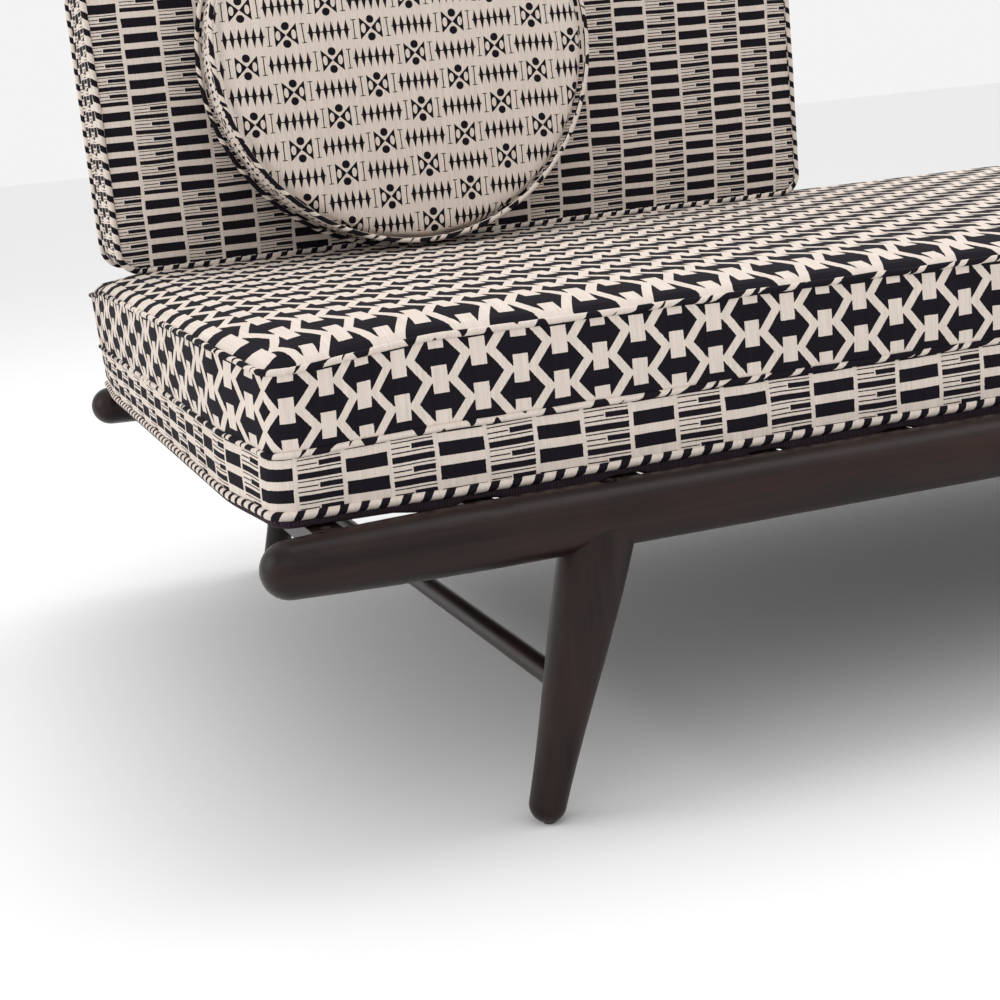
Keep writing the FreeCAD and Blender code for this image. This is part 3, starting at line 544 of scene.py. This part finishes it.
def block_mesh(outline, low, high, seams, rounds, step):
    """Closed block over the outline, cut into a grid with an edge loop at every seam."""
    bm = bmesh.new()
    if outline.flat_x > 1e-6:
        bmesh.ops.create_cube(bm, size=1.0)
        bmesh.ops.scale(bm, verts=bm.verts, vec=(2 * outline.half_x, 2 * outline.half_y, high - low))
        bmesh.ops.translate(bm, verts=bm.verts, vec=(0, 0, (high + low) / 2))
        upright = [e for e in bm.edges if abs(e.verts[0].co.z - e.verts[1].co.z) > 1e-6]
        bmesh.ops.bevel(bm, geom=upright, offset=outline.corner, offset_type="OFFSET", segments=6,
                        profile=0.5, affect="EDGES", material=-1)
        grid_x = sorted({round(v.co.x, 6) for v in bm.verts})
        grid_y = sorted({round(v.co.y, 6) for v in bm.verts})
    else:
        bmesh.ops.create_cone(bm, segments=112, radius1=outline.half_x, radius2=outline.half_x,
                              depth=high - low, cap_ends=True)
        bmesh.ops.translate(bm, verts=bm.verts, vec=(0, 0, (high + low) / 2))
    for level, amount in ((low, rounds[0]), (high, rounds[1])):
        if amount:
            rim = [e for e in bm.edges if all(abs(v.co.z - level) < 1e-6 for v in e.verts)]
            bmesh.ops.bevel(bm, geom=rim, offset=amount, offset_type="OFFSET", segments=3,
                            profile=0.5, affect="EDGES", material=-1)
    levels = [low + rounds[0]] + list(seams) + [high - rounds[1]]
    levels = sorted({round(z, 6) for z in levels if low < z < high})
    for z0, z1 in zip(levels, levels[1:]):
        if z1 - z0 > 0.016:
            levels = levels + ladder(z0, z1, 0.0095)
    if outline.flat_x > 1e-6:
        slice_mesh(bm, 0, grid_x + ladder(-outline.flat_x, outline.flat_x, step))
        slice_mesh(bm, 1, grid_y + ladder(-outline.flat_y, outline.flat_y, step))
    else:
        for level in (low, high):
            cap = max((f for f in bm.faces if abs(f.calc_center_median().z - level) < 1e-6
                       and abs(f.normal.z) > 0.9), key=lambda f: f.calc_area())
            while cap.calc_area() > 0.004:
                bmesh.ops.inset_region(bm, faces=[cap], thickness=step * 0.9, depth=0.0)
            bmesh.ops.poke(bm, faces=[cap])
    slice_mesh(bm, 2, levels)
    bmesh.ops.recalc_face_normals(bm, faces=bm.faces)
    return bm


def panel_of(centre, outline, seams):
    """Number of the panel that a face belongs to: 0 under the first seam, then upwards."""
    if outline.depth(centre.x, centre.y) > 0.0012:
        return 0 if centre.z < (seams[0] + seams[-1]) / 2 else len(seams)
    return sum(1 for seam in seams if centre.z > seam)


def lay_flat(bm, outline, seams, turned, joint, starts, spreads):
    """Map every panel flat, in metres: the bands go round, the two faces are as seen from above.

    The ends of a band meet at the joint. The print of each panel begins at its start, and
    is spread by two factors: across and up a face, or along the ends and up a band."""
    layer = bm.loops.layers.uv.new("UVMap")
    for face in bm.faces:
        centre = face.calc_center_median()
        panel = panel_of(centre, outline, seams)
        face.material_index = panel
        first, second = starts[panel]
        wide, tall = spreads[panel]
        middle = (outline.along(centre.x, centre.y) - joint) % outline.girth
        for loop in face.loops:
            x, y, z = loop.vert.co
            if panel in (0, len(seams)):
                loop[layer].uv = ((x - first) / wide, (y - second) / tall)
                continue
            here = (outline.along(x, y) - joint) % outline.girth
            if here - middle > outline.girth / 2:
                here -= outline.girth
            elif middle - here > outline.girth / 2:
                here += outline.girth
            here += joint
            here -= (1 - 1 / wide) * outline.on_ends(here)
            if turned:
                loop[layer].uv = (z - first, here - second)
            else:
                loop[layer].uv = (here - first, (z - second) / tall)


def limited(move, cap):
    """A move that never passes the cap and eases into it."""
    size = move.length
    return move if size < 1e-9 else move * (cap * math.tanh(size / cap) / size)


def swell(name, bm, outline, seams, caps, held, scene):
    """Blow the block up as cloth sewn fast at its seams; returns the swollen mesh, subdivided once."""
    sizes = scene.daybed_upholstery
    data = bpy.data.meshes.new(name)
    bm.to_mesh(data)
    bm.free()
    piece = bpy.data.objects.new(name, data)
    scene.collection.objects.link(piece)
    pins = piece.vertex_groups.new(name="sewn")
    rest = [v.co.copy() for v in data.vertices]
    sewn = []
    for i, place in enumerate(rest):
        level = any(abs(place.z - seam) < 1e-5 for seam in seams)
        on_seam = level and outline.depth(place.x, place.y) < 1e-4
        if on_seam or (held is not None and place.z < held):
            sewn.append(i)
    pins.add(sewn, 1.0, "REPLACE")
    cloth = piece.modifiers.new("cloth", "CLOTH")
    cloth.settings.use_pressure = True
    cloth.settings.uniform_pressure_force = sizes.pressure
    cloth.settings.effector_weights.gravity = 0.0
    cloth.settings.vertex_group_mass = pins.name
    cloth.settings.pin_stiffness = 1.0
    cloth.settings.quality = 4
    cloth.point_cache.frame_start = 1
    cloth.point_cache.frame_end = sizes.frames
    for step in range(1, sizes.frames + 1):
        scene.frame_set(step)
    shape = piece.evaluated_get(bpy.context.evaluated_depsgraph_get()).to_mesh()
    moved = [v.co.copy() for v in shape.vertices]
    piece.evaluated_get(bpy.context.evaluated_depsgraph_get()).to_mesh_clear()
    piece.modifiers.remove(cloth)
    scene.frame_set(1)
    for i, vertex in enumerate(data.vertices):
        face_cap = caps[1]
        place = rest[i]
        if outline.depth(place.x, place.y) > 0.004:
            face_cap = caps[2] if place.z > (seams[0] + seams[-1]) / 2 else caps[0]
        vertex.co = place + limited(moved[i] - place, face_cap)
    finer = piece.modifiers.new("finer", "SUBSURF")
    finer.levels = 1
    finer.render_levels = 1
    finer.uv_smooth = "PRESERVE_BOUNDARIES"
    data.update()
    bpy.context.view_layer.update()
    graph = bpy.context.evaluated_depsgraph_get()
    finished = bpy.data.meshes.new_from_object(piece.evaluated_get(graph), preserve_all_data_layers=True,
                                               depsgraph=graph)
    bpy.data.objects.remove(piece)
    return finished


def add_piece(name, data, body, nodes, materials, scene):
    """Link a finished mesh, give it its finish and let it ride on its body."""
    piece = bpy.data.objects.new(name, data)
    scene.collection.objects.link(piece)
    data.materials.clear()
    for material in materials:
        data.materials.append(material)
    for polygon in data.polygons:
        polygon.use_smooth = True
    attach(piece, body)
    if nodes:
        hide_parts(*nodes)
    return piece


def take_panel(data, panel, name, wall):
    """One panel of a swollen cushion as a closed cover with a wall."""
    bm = bmesh.new()
    bm.from_mesh(data)
    spare = [f for f in bm.faces if f.material_index != panel]
    bmesh.ops.delete(bm, geom=spare, context="FACES")
    for face in bm.faces:
        face.material_index = 0
    bmesh.ops.solidify(bm, geom=bm.faces[:], thickness=wall)
    made = bpy.data.meshes.new(name)
    bm.to_mesh(made)
    bm.free()
    return made


def move_mesh(data, matrix, settle=None):
    """Settle every vertex, then put the mesh in its place."""
    for vertex in data.vertices:
        place = settle(vertex.co) if settle else vertex.co
        vertex.co = matrix @ place


def welt_mesh(name, outline, seam, radius, settle, matrix, scene):
    """Piped welt round the outline at a seam, with its own map in metres along it."""
    curve = bpy.data.curves.new(name, "CURVE")
    curve.dimensions = "3D"
    curve.bevel_depth = radius
    curve.bevel_resolution = 3
    ring = outline.points(0.008)
    spline = curve.splines.new("POLY")
    spline.points.add(len(ring) - 1)
    spline.use_cyclic_u = True
    for i, (x, y) in enumerate(ring):
        wander = radius * 0.22 * noise.noise(Vector((i * 0.21, seam * 40.0, len(ring))))
        place = Vector((x, y, seam + wander))
        place = settle(place) if settle else place
        spline.points[i].co = (*place, 1.0)
        lump = noise.noise(Vector((i * 0.33, seam * 90.0 + 7.0, 1.0)))
        spline.points[i].radius = 1.0 + 0.07 * lump
    holder = bpy.data.objects.new(name, curve)
    scene.collection.objects.link(holder)
    made = bpy.data.meshes.new_from_object(holder.evaluated_get(bpy.context.evaluated_depsgraph_get()))
    bpy.data.objects.remove(holder)
    made.transform(matrix)
    for corner in made.uv_layers[0].data:
        corner.uv = (corner.uv[0] * outline.girth, corner.uv[1] * 2 * math.pi * radius)
    made.uv_layers[0].name = "UVMap"
    return made


# ---------------------------------------------------------------- the pieces


def cushion(prefix, body, outline, low, high, seams, rounds, caps, held, matrix, settle, panels,
            welts, scene, turned=False, joint=0.0, starts=None, spreads=None):
    """A boxed cushion: its panels as covers, and a welt in every seam.

    The rounds are at its lower and upper faces. The caps hold back the lower face, the bands and
    the upper face. Cloth below the height held stays where it is."""
    sizes = scene.daybed_upholstery
    bm = block_mesh(outline, low, high, seams, rounds, sizes.mesh_step)
    starts = starts or [(0.0, 0.0)] * (len(seams) + 1)
    spreads = spreads or [(1.0, 1.0)] * (len(seams) + 1)
    lay_flat(bm, outline, seams, turned, joint, starts, spreads)
    whole = swell(prefix + "_swollen", bm, outline, seams, caps, held, scene)
    pieces = []
    for panel, (node, slot, material, extra) in enumerate(panels):
        data = take_panel(whole, panel, node + "_cover", COVER_WALL)
        move_mesh(data, matrix, settle)
        piece = add_piece(node + "_cover", data, body, [node, *extra], [material], scene)
        pieces.append(piece)
    bpy.data.meshes.remove(whole)
    for (node, slot, material), seam in zip(welts, seams):
        radius = sizes.welt if slot == "stripe_welt" else sizes.slim_welt
        data = welt_mesh(node + "_piping", outline, seam, radius, settle, matrix, scene)
        pieces.append(add_piece(node + "_piping", data, body, [node], [material], scene))
    return pieces


def box_in(bm, low, high):
    """Add a box between two corners; returns its faces."""
    spread = Vector(high) - Vector(low)
    made = bmesh.ops.create_cube(bm, size=1.0)["verts"]
    bmesh.ops.scale(bm, verts=made, vec=spread)
    bmesh.ops.translate(bm, verts=made, vec=Vector(low) + spread / 2)
    return list({face for vertex in made for face in vertex.link_faces})


class DAYBED_OT_wood(bpy.types.Operator):
    """Stain the rails, legs, slats, stretchers, posts and boards"""
    bl_idname = "daybed.wood"
    bl_label = "Wood"

    def execute(self, context):
        scene = context.scene
        finishes = {axis: stained_wood(f"stained_wood_{axis}", axis, scene) for axis in "XYZ"}
        grain = {"rail": "X", "leg": "Z", "back_post": "Z", "back_board": "X", "stretcher": "Y",
                 "slat": "Y"}
        for name, node in NODES.items():
            if name.endswith(("screws", "bolts")):
                continue
            for start, axis in grain.items():
                if name.startswith(start) and not name.startswith("leg_inserts"):
                    node.data.materials.clear()
                    node.data.materials.append(finishes[axis])
        return {"FINISHED"}


class DAYBED_OT_hardware(bpy.types.Operator):
    """Finish the screws, bolts, inserts and glides"""
    bl_idname = "daybed.hardware"
    bl_label = "Hardware"

    def execute(self, context):
        steel = metal("zinc_plated_steel", (0.62, 0.62, 0.63), 0.35, 0.2)
        brass = metal("brass_insert", (0.72, 0.56, 0.28), 0.35, 0.2)
        plastic = moulded("glide_plastic", (0.05, 0.05, 0.05), 0.5)
        for name, node in NODES.items():
            chosen = None
            if name.endswith(("screws", "bolts")):
                chosen = steel
            elif name == "leg_inserts":
                chosen = brass
            elif name.startswith("glide"):
                chosen = plastic
            if chosen:
                node.data.materials.clear()
                node.data.materials.append(chosen)
        return {"FINISHED"}


def cloths(scene):
    """The cloths of the upholstery, made once."""
    made = {m.name: m for m in bpy.data.materials}
    recipes = {
        "lattice_cloth": lambda: printed_cloth("lattice_cloth", lattice_print, scene),
        "bar_cloth": lambda: printed_cloth("bar_cloth", bar_print, scene),
        "spindle_cloth": lambda: printed_cloth("spindle_cloth", spindle_print, scene, edge=0.0002),
        "stripe_welt_cloth": lambda: printed_cloth("stripe_welt_cloth", stripe_print, scene),
        "lattice_welt_cloth": lambda: printed_cloth("lattice_welt_cloth", welt_lattice, scene),
        "dark_twill_cloth": lambda: plain_twill("dark_twill_cloth", scene),
    }
    return {name: made.get(name) or recipe() for name, recipe in recipes.items()}


class DAYBED_OT_mattress(bpy.types.Operator):
    """Make the mattress: underside, two bands, top and three welts"""
    bl_idname = "daybed.mattress"
    bl_label = "Mattress"

    def execute(self, context):
        scene = context.scene
        sizes = scene.daybed_upholstery
        cloth = cloths(scene)
        low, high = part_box("mattress_lower_band")
        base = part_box("mattress_underside")[0].z
        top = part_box("mattress_top")[1].z
        middle = Vector(((low.x + high.x) / 2, (low.y + high.y) / 2, 0))
        outline = Outline((high.x - low.x) / 2, (high.y - low.y) / 2, sizes.corner)
        rings = [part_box(f"mattress_{which}_welt") for which in ("bottom", "middle", "top")]
        seams = [(ring[0].z + ring[1].z) / 2 for ring in rings]
        corner = Vector((outline.half_x, outline.half_y))

        slats = [sum(side.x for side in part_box(name)) / 2 for name in NODES
                 if name.startswith("slat_") and name != "slat_screws"]

        def settle(place):
            """Front corners drawn in, back ones bulging, all sunk at the top; sags between slats."""
            off = Vector((corner.x - abs(place.x), corner.y - abs(place.y))).length
            share = max(0.0, 1.0 - off / sizes.corner_reach)
            share = share * share * (3 - 2 * share)
            if place.z < seams[0]:
                shift = sizes.corner_lift * (0.35 + 0.65 * (place.z - base) / (seams[0] - base))
            else:
                up = (place.z - seams[0]) / (top - seams[0])
                shift = sizes.corner_lift * (1 - up) - sizes.corner_drop * up
            near = min(abs(place.x + middle.x - slat) for slat in slats)
            free = min(1.0, max(0.0, (near - 0.0135) / 0.014))
            free *= max(0.0, 1.0 - (place.z - base) / (seams[0] - base))
            inside = min(1.0, max(0.0, (outline.half_x - abs(place.x) - 0.10) / 0.05))
            rise = min(1.0, (place.z - base) / (top - base))
            drawn_in = sizes.corner_pull * (0.6 + 0.4 * rise)
            bulge = sizes.corner_bulge * (1.3 - rise)
            tuck = share * (drawn_in if place.y < 0 else -bulge)
            return Vector((place.x - math.copysign(tuck, place.x), place.y + share * 0.004,
                           place.z + share * shift - sizes.sag * free * inside))

        panels = [("mattress_underside", "dark_twill", cloth["dark_twill_cloth"], []),
                  ("mattress_lower_band", "bar_print", cloth["bar_cloth"], []),
                  ("mattress_upper_band", "arrow_print", cloth["lattice_cloth"], []),
                  ("mattress_top", "arrow_print", cloth["lattice_cloth"], ["mattress_core"])]
        welts = [("mattress_bottom_welt", "stripe_welt", cloth["stripe_welt_cloth"]),
                 ("mattress_middle_welt", "arrow_print", cloth["lattice_welt_cloth"]),
                 ("mattress_top_welt", "arrow_print", cloth["lattice_welt_cloth"])]
        cushion("mattress", "mattress", outline, base, top - 0.6 * sizes.top_swell, seams,
                (sizes.base_round, sizes.crown_round),
                (UNDERSIDE_SWELL, sizes.band_swell, sizes.top_swell), base + 0.003,
                Matrix.Translation(middle), settle, panels, welts, scene, joint=MATTRESS_JOINT,
                starts=MATTRESS_STARTS, spreads=MATTRESS_SPREADS)
        return {"FINISHED"}


class DAYBED_OT_back_cushion(bpy.types.Operator):
    """Make the upright back cushion"""
    bl_idname = "daybed.back_cushion"
    bl_label = "Back cushion"

    def execute(self, context):
        scene = context.scene
        sizes = scene.daybed_upholstery
        cloth = cloths(scene)
        low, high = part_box("back_cushion_back")
        front = sum(corner.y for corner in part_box("back_cushion_front_welt")) / 2
        back = sum(corner.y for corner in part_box("back_cushion_back_welt")) / 2
        middle = Vector(((low.x + high.x) / 2, back, (low.z + high.z) / 2))
        start = (CUSHION_START[0] - middle.x, CUSHION_START[1] - middle.z)
        outline = Outline((high.x - low.x) / 2, (high.z - low.z) / 2, sizes.cushion_corner)
        seams = [0.0, back - front]
        turn = Matrix.Translation(middle) @ Matrix.Rotation(math.pi / 2, 4, "X")
        panels = [("back_cushion_back", "bar_print", cloth["bar_cloth"], []),
                  ("back_cushion_band", "bar_print", cloth["bar_cloth"], []),
                  ("back_cushion_front", "bar_print", cloth["bar_cloth"], ["back_cushion_core"])]
        welts = [("back_cushion_back_welt", "stripe_welt", cloth["stripe_welt_cloth"]),
                 ("back_cushion_front_welt", "stripe_welt", cloth["stripe_welt_cloth"])]
        cushion("back_cushion", "back_cushion", outline, 0.0, back - front, seams, (0, 0),
                (BACK_SWELL, sizes.band_swell, sizes.cushion_swell), None, turn, None, panels, welts,
                scene, turned=True, starts=[(0.0, 0.0), (0.0, 0.0), start],
                spreads=[(1.0, 1.0), (1.0, 1.0), CUSHION_SPREAD])
        return {"FINISHED"}


class DAYBED_OT_round_cushion(bpy.types.Operator):
    """Make the round cushion that leans on the back cushion"""
    bl_idname = "daybed.round_cushion"
    bl_label = "Round cushion"

    def execute(self, context):
        scene = context.scene
        sizes = scene.daybed_upholstery
        cloth = cloths(scene)
        rings = [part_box(f"round_cushion_{which}_welt") for which in ("back", "front")]
        centres = [(low + high) / 2 for low, high in rings]
        run = centres[1] - centres[0]
        radius = (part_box("round_cushion_band")[1].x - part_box("round_cushion_band")[0].x) / 2
        outline = Outline(radius, radius, radius)
        lean = Vector((0, 0, 1)).rotation_difference(run.normalized()).to_matrix().to_4x4()
        turn = Matrix.Translation(centres[0]) @ lean
        panels = [("round_cushion_back", "spindle_print", cloth["spindle_cloth"], []),
                  ("round_cushion_band", "spindle_print", cloth["spindle_cloth"], []),
                  ("round_cushion_front", "spindle_print", cloth["spindle_cloth"],
                   ["round_cushion_core"])]
        welts = [("round_cushion_back_welt", "arrow_print", cloth["lattice_welt_cloth"]),
                 ("round_cushion_front_welt", "arrow_print", cloth["lattice_welt_cloth"])]
        cushion("round_cushion", "round_cushion", outline, 0.0, run.length, [0.0, run.length], (0, 0),
                (BACK_SWELL, sizes.band_swell, sizes.round_swell), None, turn, None, panels, welts,
                scene, starts=[(0.0, 0.0), (0.0, 0.0), ROUND_START])
        return {"FINISHED"}


class DAYBED_OT_zips(bpy.types.Operator):
    """Make the zips in the backs of the mattress and the back cushion"""
    bl_idname = "daybed.zips"
    bl_label = "Zips"

    def execute(self, context):
        scene = context.scene
        sizes = scene.daybed_upholstery
        coil = moulded("zip_coil", (0.02, 0.018, 0.02), 0.45)
        tape = plain_twill("zip_tape", scene)
        for name, body in (("mattress_zip", "mattress"), ("back_cushion_zip", "back_cushion")):
            low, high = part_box(name)
            middle = (low + high) / 2
            proud = high.y + sizes.band_swell * 0.55
            bm = bmesh.new()
            half = sizes.zip_tape / 2
            box_in(bm, (low.x, low.y, middle.z - half), (high.x, proud, middle.z + half))
            bmesh.ops.bevel(bm, geom=bm.edges[:], offset=0.0005, offset_type="OFFSET", segments=2,
                            profile=0.5, affect="EDGES", material=-1)
            uv = bm.loops.layers.uv.new("UVMap")
            for face in bm.faces:
                for loop in face.loops:
                    loop[uv].uv = (loop.vert.co.x, loop.vert.co.z)
            teeth = []
            count = int((high.x - low.x - 0.02) / sizes.zip_pitch)
            for i in range(count):
                x = low.x + 0.01 + i * sizes.zip_pitch
                teeth += box_in(bm, (x, proud - 0.0004, middle.z - 0.0024),
                                (x + 0.55 * sizes.zip_pitch, proud + 0.0012, middle.z + 0.0024))
            slider = high.x - 0.03
            teeth += box_in(bm, (slider, proud - 0.0004, middle.z - 0.0045),
                            (slider + 0.011, proud + 0.0022, middle.z + 0.0045))
            teeth += box_in(bm, (slider - 0.024, proud + 0.0014, middle.z - 0.0026),
                            (slider + 0.004, proud + 0.0030, middle.z + 0.0026))
            for face in teeth:
                face.material_index = 1
            data = bpy.data.meshes.new(name + "_closed")
            bm.to_mesh(data)
            bm.free()
            piece = add_piece(name + "_closed", data, body, [name], [tape, coil], scene)
            for polygon in piece.data.polygons:
                polygon.use_smooth = False
        return {"FINISHED"}


class DAYBED_OT_stage(bpy.types.Operator):
    """Set up the floor, the soft lights and the camera"""
    bl_idname = "daybed.stage"
    bl_label = "Studio"

    def execute(self, context):
        scene = context.scene
        place = scene.daybed_camera
        bm = bmesh.new()
        bmesh.ops.create_grid(bm, x_segments=2, y_segments=2, size=30.0)
        data = bpy.data.meshes.new("studio_floor")
        bm.to_mesh(data)
        bm.free()
        floor = bpy.data.objects.new("studio_floor", data)
        scene.collection.objects.link(floor)
        finish = Finish("studio_floor", 0.9)
        where = finish.node("ShaderNodeTexCoord")
        shade = tuple(scene.daybed_colours.floor)
        mottle = finish.noise(where.outputs["Object"], 3.0, 2.0)
        finish.colour(finish.blend(mottle, shade, tuple(0.985 * c for c in shade)))
        data.materials.append(finish.material)
        world = bpy.data.worlds.new("studio")
        world.use_nodes = True
        world.node_tree.nodes["Background"].inputs["Color"].default_value = (1.0, 1.0, 1.0, 1.0)
        world.node_tree.nodes["Background"].inputs["Strength"].default_value = 0.90
        scene.world = world
        scene.view_settings.view_transform = "Standard"
        for name, spot, size, power in LIGHTS:
            light = bpy.data.lights.new(name, "AREA")
            light.energy = power
            light.size = size
            lamp = bpy.data.objects.new(name, light)
            lamp.location = spot
            toward = Vector(LIT_PLACE) - Vector(spot)
            lamp.rotation_euler = toward.to_track_quat("-Z", "Y").to_euler()
            scene.collection.objects.link(lamp)
        facing, dip, roll = (math.radians(angle) for angle in (place.facing, place.dip, place.roll))
        ahead = Vector((math.sin(facing) * math.cos(dip), math.cos(facing) * math.cos(dip),
                        -math.sin(dip)))
        right = Vector((math.cos(facing), -math.sin(facing), 0))
        up = right.cross(ahead)
        side = math.cos(roll) * right + math.sin(roll) * up
        head = math.cos(roll) * up - math.sin(roll) * right
        data = bpy.data.cameras.new("camera")
        data.lens = place.focal
        data.sensor_width = 36.0
        data.clip_start = 0.05
        camera = bpy.data.objects.new("camera", data)
        turn = Matrix((side, head, -ahead)).transposed().to_4x4()
        camera.matrix_world = Matrix.Translation(Vector(place.position)) @ turn
        scene.collection.objects.link(camera)
        scene.camera = camera
        return {"FINISHED"}


class DAYBED_PT_panel(bpy.types.Panel):
    """Buttons that make the daybed's pieces"""
    bl_label = "Daybed"
    bl_idname = "DAYBED_PT_panel"
    bl_space_type = "VIEW_3D"
    bl_region_type = "UI"
    bl_category = "Daybed"

    def draw(self, context):
        for operator in OPERATORS:
            self.layout.operator(operator.bl_idname)
        for holder in (context.scene.daybed_upholstery, context.scene.daybed_prints,
                       context.scene.daybed_colours, context.scene.daybed_camera):
            box = self.layout.box()
            for name in holder.__annotations__:
                box.prop(holder, name)


GROUPS = {"daybed_upholstery": UpholsterySizes, "daybed_prints": PrintSizes,
          "daybed_colours": Colours, "daybed_camera": CameraPlace}
OPERATORS = [DAYBED_OT_wood, DAYBED_OT_hardware, DAYBED_OT_mattress, DAYBED_OT_back_cushion,
             DAYBED_OT_round_cushion, DAYBED_OT_zips, DAYBED_OT_stage]


def register():
    for name, group in GROUPS.items():
        bpy.utils.register_class(group)
        setattr(bpy.types.Scene, name, PointerProperty(type=group))
    for operator in OPERATORS:
        bpy.utils.register_class(operator)
    bpy.utils.register_class(DAYBED_PT_panel)


def unregister():
    bpy.utils.unregister_class(DAYBED_PT_panel)
    for operator in reversed(OPERATORS):
        bpy.utils.unregister_class(operator)
    for name, group in reversed(GROUPS.items()):
        delattr(bpy.types.Scene, name)
        bpy.utils.unregister_class(group)


def main():
    register()
    bpy.ops.daybed.wood()
    bpy.ops.daybed.hardware()
    bpy.ops.daybed.mattress()
    bpy.ops.daybed.back_cushion()
    bpy.ops.daybed.round_cushion()
    bpy.ops.daybed.zips()
    bpy.ops.daybed.stage()


if __name__ == "__main__":
    main()
